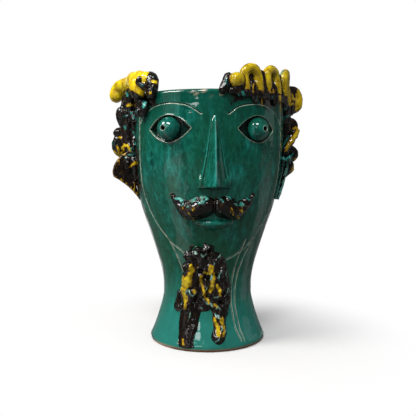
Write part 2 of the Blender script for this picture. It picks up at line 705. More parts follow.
def press_wall(mesh):
    points = mesh_points(mesh)
    azimuth, z = wall_place(points)
    is_outer = np.zeros(len(points), np.float32)
    mesh.attributes["outer"].data.foreach_get("value", is_outer)
    on = is_outer > 0.99
    lip = ~on & (z > RIM - 6)
    plain = np.hypot(points[:, 0], points[:, 1])
    inside = ~on & (plain > 30) & (z > 3)
    far = scratch_distance(points)
    lid = almond_distance(points)
    # throwing rings, and the softness of hand-turned clay
    rings = 0.05 * np.sin(z * 0.82 + np.radians(azimuth) + 1.4 * grain(points, 60, 2))
    soft = 0.5 * grain(points, 42, 3)
    fade = ease(4, 12, z) * (1 - ease(268, 278, z))
    # a scratch 0.75 mm deep, and an almond pressed in by 4.9 mm, both with a burr along them
    pressed = 0.75 + 0.25 * grain(points, 25, 6)
    groove = pressed * (0.2 * bell(far, 0.95, 0.35) - 0.75 * bell(far, 0, 0.45))
    pocket = 0.45 * bell(lid, 0.8, 0.6) - 4.9 * ease(0.4, -0.9, lid)
    radius = np.where(on, wall(z) + (rings + soft) * fade + groove + pocket, plain)
    radius = np.where(inside, radius + 0.35 * grain(points, 30, 8), radius)
    angle = np.radians(azimuth)
    moved = np.stack([radius * np.sin(angle), -radius * np.cos(angle), z], -1)
    moved[:, 2] += np.where(lip, 0.4 * grain(points * [1, 1, 0], 35, 9), 0)
    move_points(mesh, moved)
    # the scratches are pale where their burr broke through the glaze, and filled above the brows
    broken = 0.45 + 0.55 * ease(-0.3, 0.0, grain(points, 7, 11))
    brow = above_brow(points)
    # the coat pooled along the lower lids and ran down thick below the eyes
    lid_pool = (ease(7, 0.5, lid) * ease(EYE_Z - 4, EYE_Z - 13, z) * (lid > 0)
                * (0.5 + grain(points, 6, 17, 2)))
    run = (bell(np.abs(azimuth), 26, 9) * ease(EYE_Z - 66, EYE_Z - 24, z) * (z < EYE_Z)
           * ease(-0.25, 0.25, grain(points / [1, 1, 3], 7, 18, 2)))
    # glaze worn off the rim, and chips in its front
    wear = 0.4 * ease(RIM - 1.2, RIM, z) * ease(-0.1, 0.3, grain(points, 16, 13)) * lip
    chips = (ease(0.34, 0.44, grain(points * [1, 1, 2.2], 4.0, 14))
             * (np.abs(azimuth + 2) < 15) * (z > RIM - 9))
    glaze_marks(
        mesh,
        black=np.where(on | lip, hair_stain(points), OUTSIDE),
        yellow=np.where(on, stain_drips(azimuth, z), OUTSIDE),
        crest=on * 0.45 * bell(far, 1.0, 0.5),
        hollow=np.clip(on * (0.95 * bell(far, 0, 0.36) + 0.9 * brow * ease(1.5, 0.9, far)
                             + 0.6 * lid_pool + 0.5 * run + ease(0.5, -0.5, lid)), 0, 1),
        pale=np.clip(on * broken * (0.85 * (1 - brow) * bell(far, 0.75, 0.26) + 0.75 * bell(lid, 0.5, 0.28))
                     + wear + 0.5 * chips, 0, 1),
        clay=np.where(z < 2.6 + 0.8 * grain(points, 12, 12), 1.0, 0.45 * chips),
    )


press_wall(vessel_mesh)
finish_piece("vessel", vessel_mesh, GREEN, ("vase_body", "vase_foot"))
print("vessel: widest", round(float(np.hypot(*mesh_points(vessel_mesh)[:, :2].T).max()), 1), "mm from the axis")

# %% [markdown]
# ## Eyes
# Each eyeball is a ball of clay pressed into its almond and pierced with a stick, which raised a
# small collar round the pupil. A sphere with a hole cut by a Boolean leaves ragged edges, so a
# profile with the collar and the hole in it is turned round its axis.

# %% Eyeballs
def eyeball(side, name, node):
    # in mm: the ball's radius, how far its middle stands out, the pupil's radius, and the cut-off back
    ball, stand, pupil, back = 12.2, -1.0, 2.6, -6.2
    columns = 72
    start = math.asin((back - stand) / ball)
    hole = math.acos((pupil + 0.9) / ball)
    front = stand + ball * math.sin(hole)
    profile = [(0.0, back)]
    profile += [(ball * math.cos(a), stand + ball * math.sin(a)) for a in np.linspace(start, hole, 34)]
    # the collar, and the hole with its floor
    profile += [(pupil + 0.75, front + 0.42), (pupil + 0.4, front + 0.5), (pupil + 0.08, front + 0.25),
                (pupil - 0.15, front - 0.6), (pupil - 0.3, front - 3), (pupil - 0.5, front - 6.4),
                (pupil * 0.4, front - 7.2), (0.0, front - 7.3)]
    points, faces = [], []
    for r, out in profile:
        count = 1 if r == 0 else columns
        points += [(r * math.cos(2 * math.pi * k / columns), r * math.sin(2 * math.pi * k / columns), out)
                   for k in range(count)]
    first = [0] + [1 + columns * i for i in range(len(profile) - 1)]
    for i in range(len(profile) - 1):
        for k in range(columns):
            n = (k + 1) % columns
            if i == 0:
                faces.append((0, first[1] + n, first[1] + k))
            elif i == len(profile) - 2:
                faces.append((first[i] + k, first[i] + n, first[i + 1]))
            else:
                faces.append((first[i] + k, first[i] + n, first[i + 1] + n, first[i + 1] + k))
    flat = np.array(points)
    angle = math.radians(side * EYE_AZIMUTH)
    tangent = np.array([math.cos(angle), math.sin(angle), 0])
    outward = np.array([math.sin(angle), -math.cos(angle), 0])
    up = np.array([0, 0, 1.0])
    wobble = 1 + 0.03 * grain(flat + 50 * side, 14, 31)[:, None]
    placed = (on_wall(side * EYE_AZIMUTH, EYE_Z) + (flat[:, :1] * tangent + flat[:, 1:2] * up) * wobble
              + flat[:, 2:] * outward)
    mesh = mesh_piece(name, placed, faces, GREEN, (node,))
    radius = np.hypot(flat[:, 0], flat[:, 1])
    depth = front - flat[:, 2]
    # black in the hole, and in the seam round the ball's back
    black = np.where((radius < pupil + 0.1) & (depth > 0.5), 4.0, OUTSIDE) + 12.0 * (flat[:, 2] < -3.0)
    glaze_marks(mesh, black=black, hollow=0.3, crest=0.75 * bell(radius, pupil + 0.6, 0.5) * (depth < 1),
                pale=0.55 * bell(radius, pupil + 0.35, 0.35) * (depth < 1))


for side, name, node in ((-1, "left_eyeball", "eyeball_left"), (1, "right_eyeball", "eyeball_right")):
    eyeball(side, name, node)

# %% [markdown]
# ## Clay laid on the wall
# The nose, moustache, lip and beard are pads of clay worked with the fingers. They could be
# sculpted, but a formula can be read and changed. So each is a closed pad over the wall: a height
# above the wall at every point, on a half-millimetre grid, whose border sinks into the wall where
# the clay was smeared on.

# %% Pads
STEP = 0.5  # mm
# mm above the wall: below the first no clay is kept, to the second its border sinks, and at the
# third lies its back, inside the wall
KEPT, SUNK, BACK = -0.8, -1.2, -2.4


def pad(name, x_range, z_range, shape, material, nodes):
    """shape gives heights above the wall from lengths along the wall and heights, all in mm, and
    a dict of marks"""
    xs = np.arange(x_range[0], x_range[1] + STEP, STEP)
    zs = np.arange(z_range[0], z_range[1] + STEP, STEP)
    X, Z = np.meshgrid(xs, zs)
    flat = np.column_stack([X.ravel(), Z.ravel()])
    height, marks = shape(flat)
    index = np.arange(len(flat)).reshape(len(zs), len(xs))
    quads = np.stack([index[:-1, :-1], index[:-1, 1:], index[1:, 1:], index[1:, :-1]], -1).reshape(-1, 4)
    quads = quads[height[quads].max(1) > KEPT]
    used, inverse = np.unique(quads, return_inverse=True)
    quads = inverse.reshape(-1, 4)
    flat, height = flat[used], np.maximum(height[used], SUNK)
    azimuth = np.degrees(flat[:, 0] / wall(flat[:, 1]))
    front = on_wall(azimuth, flat[:, 1], height)
    back = on_wall(azimuth, flat[:, 1], BACK)
    count = len(front)
    sides = np.concatenate([quads[:, [i, (i + 1) % 4]] for i in range(4)])
    keys = set(map(tuple, sides.tolist()))
    border = [(a, b) for a, b in keys if (b, a) not in keys]
    faces = quads.tolist() + (quads[:, ::-1] + count).tolist()
    faces += [(b, a, a + count, b + count) for a, b in border]
    mesh = mesh_piece(name, np.vstack([front, back]), faces, material, nodes)
    glaze_marks(mesh, **{k: np.tile(np.full(index.size, v)[used], 2) for k, v in marks.items()})
    print(name, "points:", 2 * count, "tallest:", round(float(height.max()), 1))


def softened(height, sharp):
    """A smeared border: the height meets the wall in a small fillet"""
    return np.where(height > 6, height, sharp * np.log1p(np.exp(np.minimum(height, 6) / sharp))
                    - 0.25 - np.maximum(-height, 0) * 0.25)


def lumps_union(heights, soft):
    """The highest of some lumps at each point, with a soft seam between two"""
    top = np.max(heights, axis=0)
    return top + soft * np.log(np.sum(np.exp((heights - top) / soft), axis=0))


def stroke_height(flat, knots, flatten):
    """Height of a roll laid flat along knots of (azimuth, z, stand, radius)"""
    line = smooth_path(knots, 1.5)
    x = np.radians(line[:, 0]) * wall(line[:, 1])
    best = np.full(len(flat), -30.0)
    for i in range(len(line) - 1):
        a = np.array([x[i], line[i, 1]])
        along = np.array([x[i + 1], line[i + 1, 1]]) - a
        t = np.clip((flat - a) @ along / (along @ along + 1e-9), 0, 1)
        away = np.linalg.norm(flat - a - t[:, None] * along, axis=1)
        stand = line[i, 2] + t * (line[i + 1, 2] - line[i, 2])
        radius = line[i, 3] + t * (line[i + 1, 3] - line[i, 3])
        best = np.maximum(best, stand + radius * (1 - (away / (radius * flatten)) ** 2))
    return best


def in_plane(flat, seed):
    """Flat points as points for noise, on a plane of their own"""
    return np.column_stack([flat, np.full(len(flat), 7.7 * seed)])

# %% [markdown]
# ## Nose
# A folded slab: two flanks, a little hollow, that meet in a ridge. Five loose faces would be too
# sharp for wet clay, so the flanks, the folded edges and the wings are heights that melt into one
# another, and the root is smeared into the brow.

# %% The nose
BROW, NOSE_BASE = 262.0, 181.0


def nose_shape(flat):
    x, z = flat.T
    top = BROW - 5
    share = np.clip((top - z) / (top - NOSE_BASE), 0, 1)
    half = 4.5 + 12.5 * share ** 1.6
    stand = 3.2 + 16 * share
    across = np.abs(x) / half
    # two flanks, a little hollow, that meet in a ridge and end in a folded edge
    flank = stand * (1 - np.sqrt(across ** 2 + 0.006)) - 0.14 * stand * np.sin(np.pi * np.clip(across, 0, 1))
    fold = 0.13 * stand + 0.7 * bell(across, 0.9, 0.09)
    height = lumps_union(np.stack([flank, fold - np.maximum(across - 0.96, 0) * half * 4.0]), 0.5)
    wing = [(9.6, 191, 0, 2.0), (9.0, 186, 1, 4.0), (6.5, 181.5, 1, 3.4)]
    wings = [stroke_height(flat, [(side * a, *rest) for a, *rest in wing], 1.3) for side in (-1, 1)]
    height = lumps_union(np.stack([height, np.maximum(*wings)]), 0.9)
    under = ease(177.5, 182.0 - 0.12 * np.abs(x), z)
    height = height * under - 2.5 * (1 - under)
    # the root of the nose is smeared into the brow
    height -= 5.5 * ease(top - 10, top + 4, z)
    height = height + 0.3 * grain(in_plane(flat, 1) / [1, 4, 1], 6, 51) * (height > 0)
    flanks = (z > 190) * (z < top)
    ridge = (bell(x, 0.3, 1.0) * (z > 184) * (z < top)
             * (0.75 + 0.5 * grain(in_plane(flat, 8) / [1, 3, 1], 5, 53)))
    edge = bell(across, 0.92, 0.07) * flanks * ease(top - 1, top - 8, z)
    # the glaze is dark in the nostrils, along the folded edges and on the right flank
    nostril = np.exp(-(((np.abs(x) - 6.0) / 2.6) ** 2 + ((z - 179.8) / 1.5) ** 2))
    shade = ease(0.12, 0.2, x / half) * ease(0.5, 0.25, x / half)
    worn = bell(x, 0.6, 0.5) * (z > 192) * (z < top - 4) * ease(-0.2, 0.1, grain(in_plane(flat, 6), 9, 52))
    marks = dict(crest=1.25 * ridge + 0.7 * edge, pale=0.18 * worn,
                 hollow=nostril + 0.85 * bell(across, 0.8, 0.055) * (z > 190) + 0.5 * shade)
    return softened(height, 0.45), marks


pad("folded_nose", (-26, 26), (174, 262), nose_shape, GREEN, ("nose",))

# %% [markdown]
# ## Moustache and lip
# Two leaves of clay with a frill along their upper edge, where the black ran off and the glaze
# broke to turquoise. A swept roll would be too round, so a row of flat lumps makes each leaf and a
# ragged ridge its frill. The lower lip is one plain roll in the same way.

# %% The moustache
MOUTH = 154.0


def moustache_shape(flat):
    x, z = flat.T
    middle = MOUTH + 5
    side = np.abs(x)
    knots = [(3.75, 2, 3, 5.6), (13.2, 0, 3, 7.5), (26.4, -3, 2, 6.75), (37.4, 4, 1, 4.1), (46, 13, 0.2, 1.6)]
    path = smooth_path([(a, middle + b, s, r) for a, b, s, r in knots], 1.0)
    wing = np.full(len(x), -30.0)
    ridge = np.full(len(x), -30.0)
    for a, b in zip(path[:-1], path[1:]):
        along = b[:2] - a[:2]
        t = np.clip(((side - a[0]) * along[0] + (z - a[1]) * along[1]) / (along @ along), 0, 1)
        dx, dz = side - a[0] - t * along[0], z - a[1] - t * along[1]
        stand, radius = a[2] + t * (b[2] - a[2]), a[3] + t * (b[3] - a[3])
        wing = np.maximum(wing, stand + radius * (1 - (dx ** 2 + dz ** 2) / (radius * 1.3) ** 2))
        lift = 0.72 * radius
        away = np.hypot(dx, dz - lift)
        ridge = np.maximum(ridge, stand * 0.8 + 0.5 * radius + 1.8 * (1 - (away / (0.3 * radius + 1.1)) ** 2))
    plane = in_plane(flat, 2)
    ragged = grain(plane, 5.0, 61, 2)
    folds = grain(np.column_stack([x + 0.6 * z, 0.5 * z, np.full(len(x), 5.0)]), 7, 62)
    height = np.maximum(wing + 1.6 * folds * (wing > 0), ridge + 1.9 * ragged)
    height += 1.1 * np.maximum(0, grain(plane, 3.4, 63)) * (height > 1)
    height -= 2.2 * bell(x, 0, 1.5) * (height > 0)
    frill = ease(-1.0, 0.7, ridge + 1.9 * ragged - wing) * (ridge > -0.5)
    streak = grain(np.column_stack([x + 0.5 * z, 0.3 * z, np.full(len(x), 3.0)]), 2.6, 64, 2)
    # turquoise along the frilled upper edge, and yellow rubbed over the middle of each wing
    crest = 0.95 * frill * ease(-0.05, 0.3, ragged + 0.55 * streak) * (0.6 + 0.9 * grain(plane, 9, 65))
    rubbed = (side > 14) & (side < 40) & (z < middle + 2)
    marks = dict(crest=crest, yellow=np.where(rubbed, 5 * streak - 3.0, OUTSIDE),
                 pale=0.15 * frill * ease(0.3, 0.5, ragged), dabbed=0.25)
    return softened(height, 0.5), marks


pad("leaf_moustache", (-52, 52), (140, 182), moustache_shape, BLACK,
    ("moustache_left", "moustache_right"))


# %% The lower lip
LIP = MOUTH - 13.5


def lip_shape(flat):
    x, z = flat.T
    span = 19 / float(wall(LIP)) * 180 / math.pi
    roll = stroke_height(flat, [(-span, LIP + 3, -1, 2.75), (0, LIP, 0.5, 5), (span, LIP + 3, -1, 2.75)], 1.2)
    height = roll + 0.35 * grain(in_plane(flat, 3), 6, 71) * (roll > 0)
    top = bell(roll, roll.max() * 0.8, 2.0) * (z > LIP)
    return softened(height, 0.5), dict(crest=0.55 * top * (roll > 0.5))


pad("lower_lip_roll", (-27, 27), (130, 151), lip_shape, GREEN, ("lower_lip",))

# %% [markdown]
# ## Beard
# Two locks of pinched clay hang from the chin, with knobs and ridges where the fingers pushed
# them. Black runs under them to the foot, and yellow is dabbed along the locks. Noise alone would
# give a crust without a hand in it, so rolls, knobs and dents are placed one by one, and noise only
# frays them.

# %% The beard's rolls, knobs and dabs, as azimuth, height, stand and radius
TURN = -11.0
beard_rolls = [
    (1.3, [(-13.5, 105, 0, 5.4), (0, 111, 1, 6.75), (15.75, 106, 0, 5.4)]),
    (1.3, [(-11.25, 97, 0, 6.3), (-12.75, 74, 1, 9), (-15, 56, 0, 7.65), (-15, 39, -2, 6.3)]),
    (1.65, [(15, 96, 0, 6.75), (16.5, 76, 1, 9), (19.5, 60, 0, 9), (21.75, 45, -1, 6.75)]),
    (1.2, [(19.5, 34, -1, 6.75), (18, 17, -1, 7.65)]),
    (1.2, [(-30.75, 60, -1, 4.05), (-33, 45, -1, 4.95)]),
    (2.2, [(0, 102, 0, 6.0), (1, 84, 0, 5.6), (2, 66, 0, 5.2), (3, 50, -1, 4.4)]),
]
beard_knobs = [
    (-12, 108, 4, 4.5), (4, 112, 5, 4.6), (14, 106, 4, 4.4), (-19, 92, 4, 3.8), (-7, 92, 5, 4.2),
    (-24, 66, 3, 3.6), (-9, 62, 5, 3.8), (-21, 46, 3, 3.8), (9, 92, 5, 4.2), (20, 88, 5, 4.4),
    (14, 76, 7, 4.0), (25, 70, 5, 4.2), (16, 60, 7, 4.0), (27, 55, 4, 4.4), (15, 47, 4, 3.8),
    (20, 20, 4, 4.4), (-32, 54, 2, 3.6), (-28, 47, 2, 3.2), (25, 90, 3, 3.4), (1, 98, 4, 3.4),
    (2, 56, 3, 3.6),
]
# where a finger pressed a dent between the knobs
beard_dents = [
    (-3, 88, 3.0), (-2, 74, 3.4), (-13, 98, 2.4), (5, 80, 2.4), (15, 84, 2.4), (20, 77, 2.8), (11, 68, 2.2),
    (23, 62, 2.4), (4, 60, 2.6), (21, 53, 2.4), (-12, 68, 2.0), (-26, 58, 2.2), (-8, 50, 2.4), (6, 104, 2.6),
]
beard_yellow = [
    [(-23.4, 78, 0, 1.8), (-20, 79, 0, 3.6), (-15, 78, 0, 2.8)],
    [(-22, 70, 0, 3.4), (-21.5, 61, 0, 4.4), (-20, 53, 0, 3.0), (-17, 47, 0, 1.2)],
    [(-11, 96, 0, 1.0), (-10, 90, 0, 1.2), (-12, 83, 0, 2.2), (-16, 75, 0, 4.2), (-20, 68, 0, 4.4)],
    [(10, 93, 0, 2.4), (9, 88, 0, 2.6), (6, 86, 0, 1.4), (3, 88, 0, 0.9)],
    [(0, 83, 0, 1.0), (0, 75, 0, 1.5), (2, 67, 0, 1.1), (3, 58, 0, 0.7)],
    [(13, 86, 0, 1.0), (12, 78, 0, 1.4), (11, 71, 0, 2.0), (9, 66, 0, 1.4)],
    [(16, 72, 0, 0.9), (18, 66, 0, 1.4), (19.5, 61, 0, 0.9)],
    [(6, 57, 0, 1.3), (8, 52, 0, 1.3)],
    [(15, 51, 0, 1.0), (17, 47, 0, 0.8)],
    [(14.5, 36, 0, 1.2), (15, 29, 0, 2.0), (16, 19, 0, 1.3)],
    [(21, 35, 0, 1.1), (22, 28, 0, 1.7), (21, 18, 0, 1.1)],
    [(-18, 12, 0, 0.8), (-17.5, 8, 0, 1.1)],
    [(-9, 67, 0, 1.0), (-7, 62, 0, 0.7)],
]
print("beard: rolls", len(beard_rolls), "knobs", len(beard_knobs), "dents", len(beard_dents))


def turned(knots):
    return [(azimuth + TURN, *rest) for azimuth, *rest in knots]


def beard_place(azimuth, z):
    """Where a point of the beard lies, as length along the wall and height"""
    return np.array([math.radians(azimuth + TURN) * float(wall(z)), z])


# %% The beard
def beard_shape(flat):
    x, z = flat.T
    plane = in_plane(flat, 4)
    bent = flat + 2.2 * np.column_stack([grain(plane, 11, 81), grain(plane, 11, 82)])
    heights = [stroke_height(bent, turned(knots), wide) for wide, knots in beard_rolls]
    for azimuth, at, stand, radius in beard_knobs:
        away = np.linalg.norm(bent - beard_place(azimuth, at), axis=1)
        heights.append(stand + radius * (1 - (away / (radius * 1.15)) ** 2) - 2.0)
    rolls = lumps_union(np.stack(heights), 0.8)
    for azimuth, at, radius in beard_dents:
        away = np.linalg.norm(bent - beard_place(azimuth, at), axis=1)
        rolls -= 3.4 * bell(away, 0, radius) * (rolls > 2)
    strands = 1 - np.abs(grain(np.column_stack([x, 0.35 * z, np.full(len(x), 9.0)]), 7.5, 83)) * 3.6
    # the black tongue below the left lock is a flat smear that reaches the foot
    smear = [(-14, 46, 0.4, 1.5), (-15.5, 26, 0.3, 1.45), (-15, 8, 0.1, 1.2)]
    tongue = stroke_height(flat, turned(smear), 6.6)
    clay = ease(0, 3, rolls)
    pinches = 1.3 * grain(plane, 3.8, 87)
    frayed_top = 8 * ease(103, 115, z) * ease(-0.2, 0.1, grain(plane, 7, 86))
    height = rolls + clay * (1.6 * strands - 0.6 + pinches) - frayed_top
    height = np.maximum(height, tongue + 0.4 * strands)
    dab_paths = [[(*beard_place(azimuth, at), 0.0, radius) for azimuth, at, _, radius in knots]
                 for knots in beard_yellow]
    dabs = depth_in_paths(np.column_stack([bent, np.zeros(len(x))]), dab_paths)
    crest = clay * ease(0.55, 0.85, strands) * ease(0.0, 0.3, grain(plane, 6, 85)) * (z < 118) * (dabs < 0)
    marks = dict(yellow=dabs * 1.3 + 0.2, ochre=0.6, crest=0.75 * crest, pale=0.3 * crest * (strands > 0.8),
                 dabbed=0.4 * ease(1.5, -0.5, dabs))
    return softened(height, 0.55), marks


pad("beard_locks", (-56, 34), (4.5, 122), beard_shape, BLACK,
    ("beard_chin_tuft", "beard_left_lock", "beard_right_lock", "beard_right_tip", "beard_left_lump"))

# %% [markdown]
# ## Rolled clay
# The hair is rolled under the hand, bent and pressed together while wet, so the rolls of one side
# melt into one another. Separate tubes would cut through one another with sharp seams. So a small
# tree of nodes sweeps a round section along every path, a voxel skin joins the rolls, and soft
# lumps and tool ridges are kneaded into it.

# %% The sweep tree
def sweep_tree():
    """Mesh edges with a radius on each point become closed rolls"""
    tree = bpy.data.node_groups.new("rolled clay", "GeometryNodeTree")
    tree.interface.new_socket("Paths", in_out="INPUT", socket_type="NodeSocketGeometry")
    sides = tree.interface.new_socket("Sides", in_out="INPUT", socket_type="NodeSocketInt")
    coat = tree.interface.new_socket("Glaze", in_out="INPUT", socket_type="NodeSocketMaterial")
    tree.interface.new_socket("Rolls", in_out="OUTPUT", socket_type="NodeSocketGeometry")
    source = add(tree, "NodeGroupInput").outputs
    curves = add(tree, "GeometryNodeMeshToCurve", {"Mesh": source["Paths"]})
    width = add(tree, "GeometryNodeInputNamedAttribute", {"Name": "width"}, data_type="FLOAT")
    section = add(tree, "GeometryNodeCurvePrimitiveCircle", {"Resolution": source["Sides"], "Radius": 1.0})
    swept = add(tree, "GeometryNodeCurveToMesh", {"Curve": curves, "Profile Curve": section, "Scale": width,
                                                  "Fill Caps": True})
    real = add(tree, "GeometryNodeRealizeInstances", {"Geometry": swept})
    glazed = add(tree, "GeometryNodeSetMaterial", {"Geometry": real, "Material": source["Glaze"]})
    add(tree, "NodeGroupOutput", {"Rolls": glazed})
    return tree, sides.identifier, coat.identifier


SWEEP, SWEEP_SIDES, SWEEP_GLAZE = sweep_tree()
print("sweep tree: nodes", len(SWEEP.nodes))


# %% One skin round the rolls
DOME = (0.3, 0.6, 0.85, 0.97)  # how far out the rings of a roll's domed end lie, as a share of its radius


def domed(line):
    """A line of (x, y, z, radius) knots with a domed end at both tips"""
    domes = []
    for tip, inner in ((line[0], line[2]), (line[-1], line[-3])):
        way = (tip - inner)[:3] / np.linalg.norm((tip - inner)[:3])
        domes.append([(*(tip[:3] + way * tip[3] * t), tip[3] * math.sqrt(1 - t * t)) for t in DOME])
    return np.vstack([domes[0][::-1], line, domes[1]])


def melted(holder, name, voxel, rounds):
    """One voxel skin round a holder's clay, smoothed some rounds, as a plain mesh"""
    skin = holder.modifiers.new("skin", "REMESH")
    skin.mode = "VOXEL"
    skin.voxel_size = voxel * MM
    melt = holder.modifiers.new("melt", "SMOOTH")
    melt.iterations, melt.factor = rounds, 0.5
    mesh = bpy.data.meshes.new_from_object(holder.evaluated_get(bpy.context.evaluated_depsgraph_get()))
    mesh.name = name
    source = holder.data
    bpy.data.objects.remove(holder)
    bpy.data.meshes.remove(source)
    return mesh


def rolls_mesh(name, paths, rounds):
    """One skin round all the rolls: paths of (x, y, z, radius) knots in mm"""
    points, edges, widths = [], [], []
    for knots in paths:
        line = domed(smooth_path(knots, 1.3))
        edges += [(len(points) + i, len(points) + i + 1) for i in range(len(line) - 1)]
        points += (line[:, :3] * MM).tolist()
        widths += (line[:, 3] * MM).tolist()
    mesh = bpy.data.meshes.new(name + "_paths")
    mesh.from_pydata(points, edges, [])
    mesh.attributes.new("width", "FLOAT", "POINT").data.foreach_set("value", widths)
    holder = bpy.data.objects.new(name + "_paths", mesh)
    bpy.context.collection.objects.link(holder)
    sweep = holder.modifiers.new("sweep", "NODES")
    sweep.node_group = SWEEP
    sweep[SWEEP_SIDES] = 16
    sweep[SWEEP_GLAZE] = BLACK
    result = melted(holder, name, 0.7, rounds)
    print(name, "points:", len(result.vertices), "rolls:", len(paths))
    return result


# %% Hair as one kneaded mass
def hair_piece(name, yellow_lumps, black_rolls, strokes, nodes, seed, lump=0.9, ridge=0.3, melt=4,
               ochre=0.0, fade=(0.0, -20.0), crease=7.0, rings=()):
    """yellow_lumps are lists of paths, one list for each lump, and strokes are brushed from the front,
    black ones over the lumps and then yellow and teal ones; black pools in the creases between two
    lumps, and the lumps' yellow fades raggedly between two heights; rings are the middles of loops,
    round which the brush left ochre streaks"""
    lumps = yellow_lumps + [black_rolls]
    paths = [[(*knot[:3], knot[3] + 0.4) for knot in path] for paths in lumps for path in paths]
    mesh = rolls_mesh(name, paths, melt)
    points, normals = mesh_points(mesh), mesh_normals(mesh)
    depths = np.stack([depth_in_paths(points, [smooth_path(path, 3) for path in paths]) for paths in lumps])
    lit, dark = np.sort(depths[:-1], axis=0)[::-1], depths[-1]
    yellow = np.clip((lit[0] - dark) * 1.2, OUTSIDE, 4)
    yellow -= crease * bell(lit[0] - lit[1], 0, 0.9)
    # the hand's soft lumps and the tool's ridges are flatter on the smooth yellow rolls
    on_yellow = ease(0, 3, yellow)
    fingers = grain(points, 11, seed) * lump * (1.3 - 0.5 * on_yellow)
    ridges = (1 - np.abs(grain(points / [1, 1, 1.6], 6.5, seed + 1, 2)) * 3.0) * ridge * (1 - 0.7 * on_yellow)
    ridges += 0.55 * grain(points, 4.4, seed + 3) * (1 - 0.8 * on_yellow)
    move_points(mesh, points + normals * (fingers + ridges)[:, None])
    yellow -= 5 * ease(*fade, points[:, 2])
    yellow = np.minimum(yellow, -1.2 * brushed(points, normals, strokes["black"]))
    yellow = np.maximum(yellow, 1.3 * brushed(points, normals, strokes["yellow"]))
    ochre = ochre + 0.4 * ease(266, 256, points[:, 2])
    for middle in rings:
        away = np.linalg.norm((seen_from_front(points) - middle) * [1.15, 1], axis=1)
        ochre += ease(17, 14, away) * 0.45 * np.sin(2.9 * away + 2.4 * grain(points, 9, seed + 6))
    raised = crests(mesh, 8)
    crest = np.clip(raised * 2.6, -1, 0.95) * ease(0.14, 0.36, grain(points, 9, seed + 5)) * (yellow < -0.5)
    crest = np.maximum(crest, np.clip(0.45 + 0.4 * brushed(points, normals, strokes["teal"]), 0, 1.1))
    hollow = np.clip(-raised * 1.5 - 0.1, 0, 0.8) * (yellow < 0) + np.clip(-raised * 1.2 - 0.3, 0, 0.45)
    glaze_marks(mesh, yellow=yellow, crest=crest, hollow=hollow, ochre=ochre,
                dabbed=0.1 + 0.65 * ease(1, -0.5, yellow))
    finish_piece(name, mesh, BLACK, nodes)


def curl_path(azimuth, z, stand, wide, tall, coil, start, end, turn=0.0, tighten=1.0):
    """A roll bent round an upright oval that is turned from the wall's tangent outwards"""
    centre = on_wall(azimuth, z, stand)
    a, turned_by = math.radians(azimuth), math.radians(turn)
    tangent = np.array([math.cos(a), math.sin(a), 0])
    outward = np.array([math.sin(a), -math.cos(a), 0])
    across = tangent * math.cos(turned_by) + outward * math.sin(turned_by)
    knots = []
    for t in np.linspace(0, 1, 14):
        angle = math.radians(start + (end - start) * t)
        size = 1 + (tighten - 1) * t
        point = centre + across * wide * size * math.cos(angle)
        point[2] += tall * size * math.sin(angle)
        knots.append((*point, coil * (1 + (math.sqrt(tighten) - 1) * t)))
    return knots

# %% [markdown]
# ## Hair on the left
# A bed roll on the rim, a thick yellow roll thrown over it with a pinched end, and curls down the
# side of the head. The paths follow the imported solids. The strokes of black, yellow and turquoise
# could be noise too, but a brush leaves strokes with a place and a way, so they are laid on from
# the front, in mm on an upright plane.

# %% Hair on the left
left_yellow = [
    [wall_path([(-98, 288, 18.5, 8.3), (-97, 296, 14.5, 8.2), (-88, 298.5, 4, 7.4), (-80, 297, 0, 7.6)])],
    [wall_path([(-76, 296, 0, 8.0), (-65, 296.5, 1, 9.6), (-57, 291, 5, 9.6), (-54.5, 281, 7, 7.4)]),
     wall_path([(-58, 297, 1, 8.4), (-50, 295, 2, 7.2)])],
]
left_black = [
    wall_path([(-97, 277, 7, 5.5), (-91, 286, 3, 6), (-75, 286, 0, 6.4), (-61, 285, 1, 6), (-57, 276, 4, 4.7)]),
    wall_path([(-49, 297, -3, 5.8), (-45, 292, 0, 7.0), (-44, 279, 4, 6)]),
    wall_path([(-49, 287, 6, 3.2), (-52, 290, 9.5, 2.6), (-50.5, 294, 9.5, 2.4)]),
    wall_path([(-86, 275.5, 2, 6.6), (-87, 258, 2.9, 7.2), (-88, 234, 2.9, 7.2), (-86, 210, 2, 5.9)]),
    wall_path([(-74, 280, 2, 4.4), (-76, 268, 2, 4.0), (-77, 258, 1, 3.0)]),
    wall_path([(-89, 247, 8, 5.0), (-90, 238, 9, 5.4), (-89, 228, 8, 5.4)]),
    wall_path([(-73, 262, 0, 2.8), (-71, 250, 0, 3.0), (-73, 238, 0, 3.0), (-71, 226, 0, 2.6)]),
    curl_path(-53.5, 265, 3.5, 4.5, 5, 4.2, 100, 400),
    curl_path(-92, 262, 6, 6, 9.5, 5.6, 80, 390, 70),
    curl_path(-94, 230, 11, 10.5, 13, 7.1, 70, 430, 65, 0.6),
    curl_path(-84, 207, 4, 5, 5.5, 5.2, 60, 360, 40, 0.8),
    wall_path([(-75, 222, 0, 3.2), (-77, 214, 2, 3.6), (-74, 204, 1, 3.4), (-76, 192, 0, 3.0)]),
]
